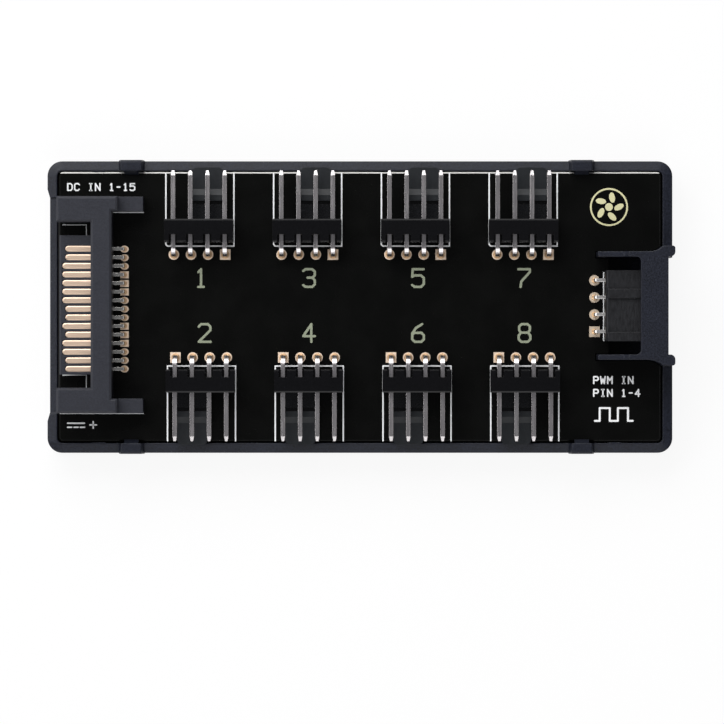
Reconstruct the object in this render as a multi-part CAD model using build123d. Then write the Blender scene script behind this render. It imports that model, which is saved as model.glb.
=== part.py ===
from build123d import *
import math
import os

# Fan hub: an open moulded tray holds one board with eight right-angle fan headers, a power connector
# and a control socket. Sizes are in millimetres. +X runs from the power connector to the control
# socket, +Z is up, and the origin is the middle of the tray's underside.

# Tray, as long and wide as the fan headers and the room beyond them ask for
CASE_END_ROOM = 14.4
CASE_SIDE_ROOM = 14.01
CASE_WALL = 1.45
CASE_FLOOR = 1.6
CASE_CORNER_RADIUS = 2.2
POCKET_CORNER_RADIUS = 0.75
BASE_EDGE = 0.6
RIM_EDGE = 0.25
RIM_SLOPE_RUN = 1.3
RIM_SLOPE_DROP = 0.26
RIM_DROP = 0.1

# Supports that the board rests on, and the ribs that centre it
RIB_WIDTH = 1.2
RIB_DEPTH = 1.5
END_RIB_INSET = 6.7
POST_DIAMETER = 3.2
LOCATOR_WIDTH = 1.9
LOCATOR_INSET = 8.1
LOCATOR_FIT = 0.05

# Snap clips on the long walls
CLIP_INSET = 13.0
CLIP_CENTRE_X = -0.5
CLIP_BASE_WIDTH = 3.75
CLIP_TOP_WIDTH = 3.0
CLIP_ROOT = 2.6
CLIP_RISE = 1.9
CLIP_PROUD = 0.13
HOOK_WIDTH = 2.15
HOOK_OVERLAP = 0.4
HOOK_LIP = 0.5
HOOK_FIT = 0.05

# Relief in the short wall that the power plug passes over
RELIEF_DEPTH = 0.36
RELIEF_RUN = 1.2
RELIEF_DROP = 0.4

# Board
BOARD_THICKNESS = 1.6
BOARD_LIFT = 3.4
BOARD_CLEARANCE = 0.15
BOARD_EDGE = 0.3
PIN_HOLE_FIT = 0.1
CONTACT_HOLE_FIT = 0.1
PEG_HOLE_FIT = 0.16
HOLE_SIDES = 6

# Square pins, one for each line of a fan header
PIN_LINES = ("ground", "power", "tach", "pwm")
PIN_SIDE = 0.64
PIN_PITCH = 2.54
PIN_HEIGHT = 3.2
PIN_REACH = 12.38
PIN_TAIL = 1.5
PIN_BEND = 1.4
PIN_POINT = 0.7
PIN_POINT_SIDE = 0.38
PIN_FIT = 0.02
BEND_SIDES = 8

# Fan headers, numbered in two rows back to back
HEADER_COLUMNS = 4
HEADER_PITCH = 16.0
HEADER_ROW_OFFSET = 7.64
ARRAY_X = 0.31
ARRAY_Y = 0.15
ROW_SHIFT = 0.24
HEADER_BACK = 1.76
HEADER_DEPTH = 3.41
HEADER_SLOT_WIDTH = 1.2
HEADER_SLOT_DEPTH = 1.14
HEADER_SLOT_GAP = 0.35
HEADER_OVER_PINS = 2.4
HEADER_EDGE = 0.2
TONGUE_END = 12.9
TONGUE_WIDTH = 4.5
TONGUE_LIFT = 0.2
TONGUE_THICKNESS = 1.1
TONGUE_CORNER = 0.7
LOCK_FROM_END = 3.2
LOCK_RAMP = 0.9
LOCK_CREST = 0.83
LOCK_RISE = 0.55
LOCK_GROOVE = 0.53
LOCK_GROOVE_DEPTH = 0.7

# Control socket, with two ribs that key its plug
SOCKET_INSET = 11.57
SOCKET_BACK = 1.47
SOCKET_LENGTH = 8.75
SOCKET_WIDTH = 10.5
SOCKET_LIFT = 0.45
SOCKET_BODY = 4.4
SOCKET_KEY_WIDTH = 1.3
SOCKET_KEY_HEIGHT = 0.6
SOCKET_KEY_GAP = 5.1
SOCKET_EDGE = 0.25
CAVITY_SIDE = 1.3
CAVITY_DEPTH = 7.2
CAVITY_MOUTH = 0.3
LEAF_THICKNESS = 0.2
LEAF_SETBACK = 1.28
LEAF_HEIGHT = 0.8
TAIL_WIDTH = 0.5
TAIL_THICKNESS = 0.3
TAIL_BEND = 0.4

# Port in the short wall for the control plug, under a hood
PORT_GAP = 1.96
PORT_WALL = 0.78
PORT_RISE = 7.65
PORT_ROOF = 1.2
PORT_ARM_LENGTH = 11.3
PORT_STEP_INSET = 6.8
PORT_ARM_DROP = 0.8
PORT_RAMP = 0.7
PORT_ROOF_BACK = 5.05
PORT_FLARE_INSET = 3.85
PORT_ROOF_INSET = 1.0
PORT_RECESS = 0.65
PORT_ROOF_BLEND = 0.7
PORT_TAB_INSET = 9.5
KNUCKLE_WIDTH = 1.62
KNUCKLE_LENGTH = 1.7
KNUCKLE_OUTER_ROUND = 0.4
KNUCKLE_INNER_ROUND = 0.75

# Power connector, with its contacts on a keyed tongue
POWER_INSET = 11.45
POWER_Y = 0.27
POWER_ARM = 3.76
POWER_BACK = 1.65
POWER_BLOCK = 3.07
POWER_FRONT = 9.78
POWER_HEIGHT = 6.6
POWER_EDGE = 0.3
BLADE_SIDE = 0.775
BAY_SIDE = 1.94
BLADE_LENGTH = 4.76
BLADE_TOP = 3.4
BLADE_THICKNESS = 1.25
BLADE_EDGE = 0.2
KEY_WIDTH = 1.3
KEY_DROP = 1.1
EAR_WIDTH = 2.15
EAR_STEP = 0.88
EAR_LENGTH = 4.55
EAR_HEIGHT = 4.2
PEG_DIAMETER = 1.5
PEG_FROM_END = 1.5
PEG_PROUD = 1.0
CONTACT_GROUPS = ("3v3", "ground", "5v", "return", "12v")
CONTACT_GROUP = 3
CONTACT_PITCH = 1.27
CONTACT_ROW_SHIFT = -0.57
CONTACT_WIDTH = 0.87
CONTACT_THICKNESS = 0.25
CONTACT_PROUD = 0.05
CONTACT_SETBACK = 0.43
CONTACT_STAGGER = 0.45
CONTACT_TIP_SIDES = 5
CONTACT_SHOULDER = 0.17
CONTACT_SHOULDER_DROP = 0.07
CONTACT_TAIL_WIDTH = 0.5
CONTACT_TAIL_BEND = 0.4
CONTACT_FIT = 0.02
LATE_CONTACTS = (1, 2, 8, 9, 11, 14, 15)

# Levels and places that follow from the sizes above
case_length = HEADER_COLUMNS * HEADER_PITCH + 2 * CASE_END_ROOM
case_width = 2 * (HEADER_ROW_OFFSET + CASE_SIDE_ROOM)
case_end = case_length / 2
board_bottom = CASE_FLOOR + BOARD_LIFT
board_top = board_bottom + BOARD_THICKNESS
rim_top = board_top - RIM_DROP
pocket_length = case_length - 2 * CASE_WALL
pocket_width = case_width - 2 * CASE_WALL
board_length = pocket_length - 2 * BOARD_CLEARANCE
board_width = pocket_width - 2 * BOARD_CLEARANCE
clip_pitch = case_length - 2 * CLIP_INSET
locator_pitch = case_length - 2 * LOCATOR_INSET
socket_x = case_end - SOCKET_INSET
port_arm_start = case_end - PORT_ARM_LENGTH
port_arm_step = case_end - PORT_STEP_INSET
port_roof_start = case_end - PORT_ROOF_BACK
port_flare_start = case_end - PORT_FLARE_INSET
port_tab_end = case_end - PORT_TAB_INSET
port_inner = SOCKET_WIDTH / 2 + PORT_GAP
port_outer = port_inner + PORT_WALL
port_top = board_top + PORT_RISE
pin_count = len(PIN_LINES)
pin_hole = math.hypot(PIN_SIDE, PIN_SIDE) + 2 * PIN_HOLE_FIT
header_width = pin_count * PIN_PITCH
pin_inner_cut = (PIN_BEND - PIN_SIDE) * (2 - math.sqrt(2))
header_front = HEADER_BACK + HEADER_DEPTH
header_top = PIN_HEIGHT + HEADER_OVER_PINS
tail_end = -(BOARD_THICKNESS + PIN_TAIL)
socket_row_height = SOCKET_LIFT + SOCKET_BODY / 2
contact_count = CONTACT_GROUP * len(CONTACT_GROUPS)
contact_hole = math.hypot(CONTACT_TAIL_WIDTH, CONTACT_THICKNESS) + 2 * CONTACT_HOLE_FIT
blade_width = contact_count * CONTACT_PITCH + 2 * BLADE_SIDE
power_x = POWER_INSET - case_end
power_width = blade_width + 2 * (BAY_SIDE + POWER_ARM)
peg_place = POWER_BACK - EAR_LENGTH + PEG_FROM_END
blade_root = POWER_BACK + POWER_BLOCK
blade_end = blade_root + BLADE_LENGTH
contact_top = BLADE_TOP + CONTACT_PROUD


def spread(count, pitch):
    """Offsets of evenly pitched places about zero, from the far end down to the near end."""
    return [pitch * ((count - 1) / 2 - place) for place in range(count)]


def span(x, y, z):
    """A box between two values on each axis."""
    size = Box(x[1] - x[0], y[1] - y[0], z[1] - z[0])
    return Pos((x[0] + x[1]) / 2, (y[0] + y[1]) / 2, (z[0] + z[1]) / 2) * size


def across(points, width, shift=0):
    """A closed outline of depth and height, drawn out evenly to both sides along X."""
    face = Plane.YZ * make_face(Polyline(*points, close=True))
    return Pos(shift, 0, 0) * extrude(face, amount=width / 2, both=True)


def frustum(near, far, length):
    """A square taper along +Y, from one side length to another."""
    low = (near - far) / 2
    high = (near + far) / 2
    middle = (Align.CENTER, Align.MIN, Align.CENTER)
    return Wedge(near, length, near, low, low, high, high, align=middle)


def bent_strip(reach, height, width, thickness, bend, inner_cut=0):
    """A strip that runs back from its tip and turns down, round a bend, through the board."""
    half = thickness / 2
    top = height + half
    turns = [math.pi / 2 * side / BEND_SIDES for side in range(BEND_SIDES + 1)]
    outer = [(bend - half - bend * math.sin(turn), top - bend + bend * math.cos(turn)) for turn in turns]
    inner = [(half, height - half - inner_cut), (half + inner_cut, height - half)]
    if not inner_cut:
        inner = [(half, height - half)]
    outline = make_face(
        Polyline(
            (reach, top),
            *outer,
            (-half, tail_end),
            (half, tail_end),
            *inner,
            (reach, height - half),
            close=True,
        )
    )
    return extrude(Plane.YZ * outline, amount=width / 2, both=True)


# Places on the board, each turned so that its plug enters along its own +Y


def seat(x, y, turn):
    return Pos(x, y, board_top) * Rot(0, 0, turn)


def header_seat(number):
    column = (number - 1) // 2
    x = ARRAY_X - spread(HEADER_COLUMNS, HEADER_PITCH)[column]
    if number % 2:
        return seat(x - ROW_SHIFT / 2, ARRAY_Y + HEADER_ROW_OFFSET, 0)
    return seat(x + ROW_SHIFT / 2, ARRAY_Y - HEADER_ROW_OFFSET, 180)


socket_seat = seat(socket_x, ARRAY_Y, -90)
power_seat = seat(power_x, POWER_Y, 90)


# Tray


def tray_shell():
    """Floor and walls with rounded corners, a base edge cut back and a rim that slopes outwards."""
    plan = RectangleRounded(case_length, case_width, CASE_CORNER_RADIUS)
    shell = extrude(plan, amount=rim_top)
    shell = chamfer(shell.edges().group_by(Axis.Z)[0], BASE_EDGE)
    rim = shell.faces().sort_by(Axis.Z).last
    shell = chamfer(rim.edges(), RIM_SLOPE_RUN, RIM_SLOPE_DROP, reference=rim)
    pocket = RectangleRounded(pocket_length, pocket_width, POCKET_CORNER_RADIUS)
    return shell - Pos(0, 0, CASE_FLOOR) * extrude(pocket, amount=BOARD_LIFT + BOARD_THICKNESS)


def plug_relief():
    """The cut where the power plug goes over the wall: a shallow dish outside and a lower sloped rim."""
    wall = -case_end
    half = power_width / 2
    dish = make_face(
        Polyline(
            (wall, POWER_Y - half - RELIEF_RUN),
            (wall + RELIEF_DEPTH, POWER_Y - half),
            (wall + RELIEF_DEPTH, POWER_Y + half),
            (wall, POWER_Y + half + RELIEF_RUN),
            close=True,
        )
    )
    inside = wall + CASE_WALL
    sill_top = rim_top - RELIEF_DROP
    slope = make_face(
        Polyline(
            (wall, sill_top - RIM_SLOPE_DROP),
            (inside, sill_top),
            (inside, rim_top),
            (wall, rim_top),
            close=True,
        )
    )
    sill = Pos(0, POWER_Y, 0) * extrude(Plane.XZ * slope, amount=half, both=True)
    return extrude(dish, amount=rim_top) + sill


def board_supports():
    """Ribs on the walls and posts on the floor, all level under the board."""
    levels = (0, board_bottom)
    half = RIB_WIDTH / 2
    pieces = []
    for side in (-1, 1):
        wall = sorted((side * pocket_width / 2, side * (pocket_width / 2 - RIB_DEPTH)))
        for x in spread(HEADER_COLUMNS + 1, HEADER_PITCH):
            pieces.append(span((x - half, x + half), wall, levels))
        end = sorted((side * pocket_length / 2, side * (pocket_length / 2 - RIB_DEPTH)))
        for y in spread(2, pocket_width - 2 * END_RIB_INSET):
            pieces.append(span(end, (y - half, y + half), levels))
    for x in spread(2, 2 * HEADER_PITCH):
        post = Cylinder(POST_DIAMETER / 2, board_bottom, align=(Align.CENTER, Align.CENTER, Align.MIN))
        pieces.append(Pos(x, 0, 0) * post)
    return pieces


def locators():
    """Small ribs on the long walls that take up the clearance round the board."""
    half = LOCATOR_WIDTH / 2
    depth = BOARD_CLEARANCE - LOCATOR_FIT
    pieces = []
    for side in (-1, 1):
        wall = sorted((side * pocket_width / 2, side * (pocket_width / 2 - depth)))
        for place in spread(2, locator_pitch):
            x = CLIP_CENTRE_X + place
            pieces.append(span((x - half, x + half), wall, (CASE_FLOOR, rim_top)))
    return pieces


def snap_clip():
    """A clip on the +Y wall: a post with sloped flanks and a hook that reaches over the board."""
    outer = case_width / 2 + CLIP_PROUD
    wall = pocket_width / 2
    tip = board_width / 2 - HOOK_OVERLAP
    top = board_top + CLIP_RISE
    catch = board_top + HOOK_FIT
    flank = make_face(
        Polyline(
            (-CLIP_BASE_WIDTH / 2, rim_top - CLIP_ROOT),
            (CLIP_BASE_WIDTH / 2, rim_top - CLIP_ROOT),
            (CLIP_BASE_WIDTH / 2, rim_top),
            (CLIP_TOP_WIDTH / 2, top),
            (-CLIP_TOP_WIDTH / 2, top),
            (-CLIP_BASE_WIDTH / 2, rim_top),
            close=True,
        )
    )
    post = Pos(0, outer, 0) * extrude(Plane.XZ * flank, amount=outer - wall)
    post = chamfer(post.edges().filter_by(Axis.X).group_by(Axis.Z)[-1].sort_by(Axis.Y).last, RIM_EDGE)
    hook = across(
        [(wall, catch), (tip, catch), (tip, catch + HOOK_LIP), (wall, top), (outer - CASE_WALL / 2, top),
         (outer - CASE_WALL / 2, catch)],
        HOOK_WIDTH,
    )
    return post + hook


def port_arm(clearance):
    """Plan of the +Y side wall of the port: a thin arm that flares into a knuckle at the outer face."""
    inner = port_inner - clearance
    outer = port_outer + clearance
    shoulder = port_inner + KNUCKLE_WIDTH + clearance
    face = case_end
    start = port_arm_start - clearance
    flare_start = (port_flare_start, outer)
    flare_end = (face - KNUCKLE_LENGTH, shoulder)
    outline = [
        Polyline((face, inner), (start, inner), (start, outer), flare_start),
        TangentArc(flare_start, flare_end, tangent=(1, 0)),
        Polyline(flare_end, (face, shoulder), (face, inner)),
    ]
    return make_face(outline)


def port_step():
    """The cut that leaves the start of an arm lower than the roof, with a slope up to it."""
    low = port_top - PORT_ARM_DROP
    side = make_face(
        Polyline(
            (port_arm_start, low),
            (port_arm_step - PORT_RAMP, low),
            (port_arm_step, port_top),
            (port_arm_start, port_top),
            close=True,
        )
    )
    return Pos(0, port_outer, 0) * extrude(Plane.XZ * side, amount=PORT_WALL)


def port_hood():
    """Two arms that rise past the board's end, joined at the top by a roof over the plug's way in."""
    face = case_end
    plan = port_arm(0)
    plan = fillet(plan.vertices().sort_by_distance((face, port_inner)).first, KNUCKLE_INNER_ROUND)
    shoulder = (face, port_inner + KNUCKLE_WIDTH)
    plan = fillet(plan.vertices().sort_by_distance(shoulder).first, KNUCKLE_OUTER_ROUND)
    arm = Pos(0, 0, BASE_EDGE) * extrude(plan, amount=port_top - BASE_EDGE)
    arm -= port_step()
    roof_end = face - PORT_ROOF_INSET
    roof = make_face(
        Polyline(
            (port_arm_step, -port_outer),
            (roof_end, -port_outer),
            (roof_end, port_outer),
            (port_arm_step, port_outer),
            close=True,
        )
    )
    notch_length = 2 * (port_roof_start - port_arm_step)
    notch = RectangleRounded(notch_length, 2 * port_inner, PORT_ROOF_BLEND)
    roof -= Pos(port_arm_step, 0) * notch
    roof = Pos(0, 0, port_top - PORT_ROOF) * extrude(roof, amount=PORT_ROOF)
    hood = arm + mirror(arm, Plane.XZ) + roof
    return Pos(0, ARRAY_Y, 0) * hood


def case_tray():
    tray = tray_shell() - plug_relief()
    window = span(
        (pocket_length / 2, case_end),
        (ARRAY_Y - port_inner, ARRAY_Y + port_inner),
        (board_bottom, rim_top),
    )
    recess = span(
        (case_end - PORT_RECESS, case_end),
        (ARRAY_Y - port_inner, ARRAY_Y + port_inner),
        (0, rim_top),
    )
    tray -= window + recess
    clip = snap_clip()
    additions = board_supports() + locators() + [port_hood()]
    for place in spread(2, clip_pitch):
        additions.append(Pos(CLIP_CENTRE_X + place, 0, 0) * clip)
        additions.append(Pos(CLIP_CENTRE_X + place, 0, 0) * mirror(clip, Plane.XZ))
    return tray + additions


# Board


def circuit_board():
    plan = RectangleRounded(board_length, board_width, POCKET_CORNER_RADIUS)
    arm = port_arm(BOARD_CLEARANCE)
    gate = make_face(
        Polyline(
            (port_tab_end, -port_inner),
            (case_end, -port_inner),
            (case_end, port_inner),
            (port_tab_end, port_inner),
            close=True,
        )
    )
    plan -= Pos(0, ARRAY_Y) * (arm + mirror(arm, Plane.XZ) + gate)
    board = Pos(0, 0, board_bottom) * extrude(plan, amount=BOARD_THICKNESS)
    top_edges = board.edges().filter_by(Axis.X).group_by(Axis.Z)[-1].group_by(Axis.Y)
    board = chamfer(top_edges[-1], BOARD_EDGE)
    bores = []
    for number in range(1, 2 * HEADER_COLUMNS + 1):
        for x in spread(pin_count, PIN_PITCH):
            bores.append(header_seat(number) * bore(x, 0, pin_hole))
    for x in spread(pin_count, PIN_PITCH):
        bores.append(socket_seat * bore(x, 0, pin_hole))
    for x in spread(contact_count, CONTACT_PITCH):
        bores.append(power_seat * bore(x + CONTACT_ROW_SHIFT, 0, contact_hole))
    for x in spread(2, power_width - EAR_WIDTH):
        bores.append(power_seat * bore(x, peg_place, PEG_DIAMETER + 2 * PEG_HOLE_FIT))
    return board - bores


def bore(x, y, diameter):
    """A drilled hole through the whole board below a seat, drawn with a few flat sides."""
    return Pos(x, y, 0) * extrude(RegularPolygon(diameter / 2, HOLE_SIDES), amount=-BOARD_THICKNESS)


# Fan headers and their pins


def header_body():
    """A block round the pins with a slot behind each, and the tongue that locks the plug."""
    half = header_width / 2
    block = span((-half, half), (HEADER_BACK, header_front), (0, header_top))
    block = chamfer(block.edges().filter_by(Axis.X).group_by(Axis.Z)[-1], HEADER_EDGE)
    hole = PIN_SIDE / 2 + PIN_FIT
    around = (PIN_HEIGHT - hole, PIN_HEIGHT + hole)
    slot = HEADER_SLOT_WIDTH / 2
    slot_end = HEADER_BACK + HEADER_SLOT_DEPTH
    slot_levels = (PIN_HEIGHT - PIN_SIDE / 2 - HEADER_SLOT_GAP, header_top)
    for x in spread(pin_count, PIN_PITCH):
        block -= span((x - hole, x + hole), (HEADER_BACK, header_front), around)
        block -= span((x - slot, x + slot), (HEADER_BACK, slot_end), slot_levels)
    return block + header_tongue()


def header_tongue():
    """The flat tongue under the pins, with a ramped lock across it and a groove behind the lock."""
    top = TONGUE_LIFT + TONGUE_THICKNESS
    ramp = TONGUE_END - LOCK_FROM_END
    crest = ramp - LOCK_RAMP
    fall = crest - LOCK_CREST
    groove = fall - LOCK_GROOVE
    groove_floor = top - LOCK_GROOVE_DEPTH
    tongue = across(
        [(HEADER_BACK, TONGUE_LIFT), (TONGUE_END, TONGUE_LIFT), (TONGUE_END, top), (ramp, top),
         (crest, top + LOCK_RISE), (fall, top + LOCK_RISE), (fall, groove_floor), (groove, groove_floor),
         (groove, top), (HEADER_BACK, top)],
        TONGUE_WIDTH,
        PIN_PITCH / 2,
    )
    return fillet(tongue.edges().filter_by(Axis.Z).group_by(Axis.Y)[-1], TONGUE_CORNER)


def header_pin():
    """A square pin with a tapered point, bent down through the board."""
    shank = PIN_REACH - PIN_POINT
    pin = bent_strip(shank, PIN_HEIGHT, PIN_SIDE, PIN_SIDE, PIN_BEND, pin_inner_cut)
    return pin + Pos(0, shank, PIN_HEIGHT) * frustum(PIN_SIDE, PIN_POINT_SIDE, PIN_POINT)


# Control socket and its contacts


def socket_body():
    """A four-way socket on a narrow foot, with a pair of keying ribs along its top."""
    end = SOCKET_BACK + SOCKET_LENGTH
    top = SOCKET_LIFT + SOCKET_BODY
    half = SOCKET_WIDTH / 2
    foot_end = port_tab_end - socket_x
    body = across(
        [(SOCKET_BACK, 0), (foot_end, 0), (foot_end, SOCKET_LIFT), (end, SOCKET_LIFT), (end, top),
         (SOCKET_BACK, top)],
        SOCKET_WIDTH,
    )
    body = chamfer(body.edges().filter_by(Axis.X).group_by(Axis.Z)[-1], SOCKET_EDGE)
    far_key = half - SOCKET_KEY_WIDTH - SOCKET_KEY_GAP
    rib = (SOCKET_BACK + SOCKET_EDGE, end - SOCKET_EDGE)
    for key in (half - SOCKET_KEY_WIDTH, far_key - SOCKET_KEY_WIDTH):
        body += span((key, key + SOCKET_KEY_WIDTH), rib, (SOCKET_LIFT, top + SOCKET_KEY_HEIGHT))
    for x in spread(pin_count, PIN_PITCH):
        body -= Pos(x, 0, socket_row_height) * socket_cavity(end)
    return body


def socket_cavity(end):
    """The cut for one contact: a square cavity with a sloped mouth, and a slot for the tail."""
    half = CAVITY_SIDE / 2
    cavity = span((-half, half), (end - CAVITY_DEPTH, end), (-half, half))
    wide = CAVITY_SIDE + 2 * CAVITY_MOUTH
    cavity += Pos(0, end - CAVITY_MOUTH, 0) * frustum(CAVITY_SIDE, wide, CAVITY_MOUTH)
    tail = (TAIL_WIDTH / 2 + PIN_FIT, TAIL_THICKNESS / 2 + PIN_FIT)
    return cavity + span((-tail[0], tail[0]), (SOCKET_BACK, end - CAVITY_DEPTH), (-tail[1], tail[1]))


def socket_contact():
    """A forked contact: two leaves that grip a pin, and a tail bent down through the board."""
    end = SOCKET_BACK + SOCKET_LENGTH
    root = end - CAVITY_DEPTH + PIN_FIT
    plate = root + TAIL_THICKNESS
    grip = CAVITY_SIDE / 2 - PIN_FIT
    leaf_z = (socket_row_height - LEAF_HEIGHT / 2, socket_row_height + LEAF_HEIGHT / 2)
    contact = bent_strip(plate, socket_row_height, TAIL_WIDTH, TAIL_THICKNESS, TAIL_BEND)
    contact += span((-grip, grip), (root, plate), leaf_z)
    for leaf in ((-grip, LEAF_THICKNESS - grip), (grip - LEAF_THICKNESS, grip)):
        contact += span(leaf, (root, end - LEAF_SETBACK), leaf_z)
    return contact


# Power connector and its contacts


def power_body():
    """A body with two guide arms, a keyed tongue between them, and ears pegged to the board."""
    half = power_width / 2
    arm = half - POWER_ARM
    ear = half - EAR_WIDTH
    step = POWER_BACK - EAR_STEP
    plan = make_face(
        Polyline(
            (-half, step),
            (-ear, step),
            (-ear, POWER_BACK),
            (ear, POWER_BACK),
            (ear, step),
            (half, step),
            (half, POWER_FRONT),
            (arm, POWER_FRONT),
            (arm, blade_root),
            (-arm, blade_root),
            (-arm, POWER_FRONT),
            (-half, POWER_FRONT),
            close=True,
        )
    )
    body = extrude(plan, amount=POWER_HEIGHT)
    body = chamfer(body.edges().group_by(Axis.Z)[-1], POWER_EDGE)
    body += power_blade()
    for side in (-1, 1):
        body += power_ear(side)
    for number in range(1, contact_count + 1):
        body -= Pos(contact_place(number), 0, 0) * contact_channel(number)
    return body


def power_blade():
    """The tongue that carries the contacts, with its key turned down at the first contact's end."""
    low = BLADE_TOP - BLADE_THICKNESS
    half = blade_width / 2
    nose = blade_end - BLADE_EDGE
    blade = across(
        [(POWER_BACK, low), (nose, low), (blade_end, low + BLADE_EDGE),
         (blade_end, BLADE_TOP - BLADE_EDGE), (nose, BLADE_TOP), (POWER_BACK, BLADE_TOP)],
        blade_width,
    )
    key = span((half - KEY_WIDTH, half), (blade_root, nose), (low - KEY_DROP, low))
    return blade + key


def power_ear(side):
    """The low part of the ear behind one end of the body, with a peg through the board."""
    middle = side * (power_width - EAR_WIDTH) / 2
    end = POWER_BACK - EAR_LENGTH
    half = EAR_WIDTH / 2
    ear = span((middle - half, middle + half), (end, POWER_BACK), (0, EAR_HEIGHT))
    length = BOARD_THICKNESS + PEG_PROUD
    peg = Cylinder(PEG_DIAMETER / 2, length, align=(Align.CENTER, Align.CENTER, Align.MAX))
    return ear + Pos(middle, peg_place, 0) * peg


def contact_place(number):
    return CONTACT_ROW_SHIFT + spread(contact_count, CONTACT_PITCH)[number - 1]


def contact_reach(number):
    """How far a contact runs out on the tongue: some start further back and so meet the plug later."""
    late = CONTACT_STAGGER if number in LATE_CONTACTS else 0
    return blade_end - CONTACT_SETBACK - late


def contact_channel(number):
    """The groove and slot that hold one contact in the body."""
    half = CONTACT_WIDTH / 2 + CONTACT_FIT
    bed = contact_top - CONTACT_THICKNESS - CONTACT_FIT
    end = contact_reach(number) + CONTACT_FIT
    return span((-half, half), (POWER_BACK, end), (bed, contact_top + CONTACT_FIT))


def contact_outline(half, root):
    """Plan of a contact strip, straight from the body and then round a tip with a few flat sides."""
    turns = [math.pi * side / CONTACT_TIP_SIDES for side in range(CONTACT_TIP_SIDES + 1)]
    tip = [(half * math.cos(turn), root + half * math.sin(turn)) for turn in turns]
    return make_face(Polyline((-half, POWER_BACK), (half, POWER_BACK), *tip, close=True))


def power_contact(number):
    """A flat contact with a rounded tip, narrowed to a tail that turns down through the board."""
    root = contact_reach(number) - CONTACT_WIDTH / 2
    shoulder = contact_top - CONTACT_SHOULDER_DROP
    wide = contact_outline(CONTACT_WIDTH / 2, root)
    flat = contact_outline(CONTACT_WIDTH / 2 - CONTACT_SHOULDER, root)
    level = contact_top - CONTACT_THICKNESS
    strip = Pos(0, 0, level) * extrude(wide, amount=CONTACT_THICKNESS - CONTACT_SHOULDER_DROP)
    strip += loft([Pos(0, 0, shoulder) * wide, Pos(0, 0, contact_top) * flat], ruled=True)
    middle = contact_top - CONTACT_THICKNESS / 2
    tail = bent_strip(blade_root, middle, CONTACT_TAIL_WIDTH, CONTACT_THICKNESS, CONTACT_TAIL_BEND)
    return Pos(contact_place(number), 0, 0) * (strip + tail)


# The whole hub, piece by piece


def all_parts():
    parts = {"case_tray": case_tray(), "circuit_board": circuit_board()}
    body = header_body()
    pin = header_pin()
    for number in range(1, 2 * HEADER_COLUMNS + 1):
        parts[f"fan_header_{number}"] = header_seat(number) * body
        for line, x in zip(PIN_LINES, spread(pin_count, PIN_PITCH)):
            parts[f"fan_{number}_{line}_pin"] = header_seat(number) * Pos(x, 0, 0) * pin
    parts["control_socket"] = socket_seat * socket_body()
    contact = socket_contact()
    for line, x in zip(PIN_LINES, spread(pin_count, PIN_PITCH)):
        parts[f"control_{line}_contact"] = socket_seat * Pos(x, 0, 0) * contact
    parts["power_housing"] = power_seat * power_body()
    for place, group in enumerate(CONTACT_GROUPS):
        first = 1 + place * CONTACT_GROUP
        numbers = range(first, first + CONTACT_GROUP)
        parts[f"power_{group}_contacts"] = Compound([power_seat * power_contact(n) for n in numbers])
    return parts


os.makedirs("parts", exist_ok=True)
for name, part in all_parts().items():
    export_step(part, f"parts/{name}.step")
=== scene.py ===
# %% [markdown]
# # A fan hub on a white table
# The hub is a shallow tray with one black board in it. Its solids come from the packed model, so this
# lesson adds what a solid can't hold: the plating round each pin, the printing on the board, the finish
# of each plastic and metal, and the light. Everything is in metres, in the frame of the solids.

# %% Load the solids
import math

import bmesh
import bpy
from mathutils import Matrix, Vector


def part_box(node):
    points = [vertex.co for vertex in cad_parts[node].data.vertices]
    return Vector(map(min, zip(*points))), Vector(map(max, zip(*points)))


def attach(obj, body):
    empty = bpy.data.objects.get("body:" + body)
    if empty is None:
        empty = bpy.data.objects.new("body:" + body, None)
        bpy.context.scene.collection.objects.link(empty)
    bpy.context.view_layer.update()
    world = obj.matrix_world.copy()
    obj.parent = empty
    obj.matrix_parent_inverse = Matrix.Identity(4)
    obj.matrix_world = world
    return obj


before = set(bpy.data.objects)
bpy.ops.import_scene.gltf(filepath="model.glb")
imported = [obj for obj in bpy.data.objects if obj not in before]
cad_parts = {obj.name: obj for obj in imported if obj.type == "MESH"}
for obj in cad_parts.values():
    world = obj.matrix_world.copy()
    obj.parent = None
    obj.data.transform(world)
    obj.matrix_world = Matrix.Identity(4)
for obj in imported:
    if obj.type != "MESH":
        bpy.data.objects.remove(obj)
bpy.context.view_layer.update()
MM = 0.001

# %% [markdown]
# ## Camera
# The picture looks straight down from far off through a long lens, so the connectors lean outwards only
# a little. The scale on the board's top face fixes the lens: the frame is 724 pixels wide, and one
# millimetre of board is 6.735 of them.

# %% Set the camera over the board
FRAME_PIXELS = 724
PIXELS_PER_MM = 6.735
CAMERA_RISE = 0.8
CAMERA_REACH = 20.0
SENSOR_MM = 36.0
FRAME_CENTRE = Vector((0.31, -8.16)) * MM

board_low, board_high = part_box("circuit_board")
board_top = board_high.z
field = FRAME_PIXELS / PIXELS_PER_MM * MM
camera_data = bpy.data.cameras.new("overhead_camera")
camera_data.sensor_width = SENSOR_MM
camera_data.lens = SENSOR_MM * CAMERA_RISE / field
camera_data.clip_end = CAMERA_REACH
camera = bpy.data.objects.new("overhead_camera", camera_data)
camera.location = (FRAME_CENTRE.x, FRAME_CENTRE.y, board_top + CAMERA_RISE)
bpy.context.scene.collection.objects.link(camera)
bpy.context.scene.camera = camera
bpy.context.scene.view_settings.view_transform = "Standard"
print("lens", round(camera_data.lens, 1), "mm for a frame of", round(field / MM, 1), "mm")

# %% [markdown]
# ## Writing shader maths as Python
# A finish needs small sums, such as a mask times a noise. Wrapping a socket in a class lets those sums be
# written with ordinary operators, and one method adds any other node. A Mix node has sockets for numbers,
# vectors and colours side by side, so the colour ones are picked by their place in its list.

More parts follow.
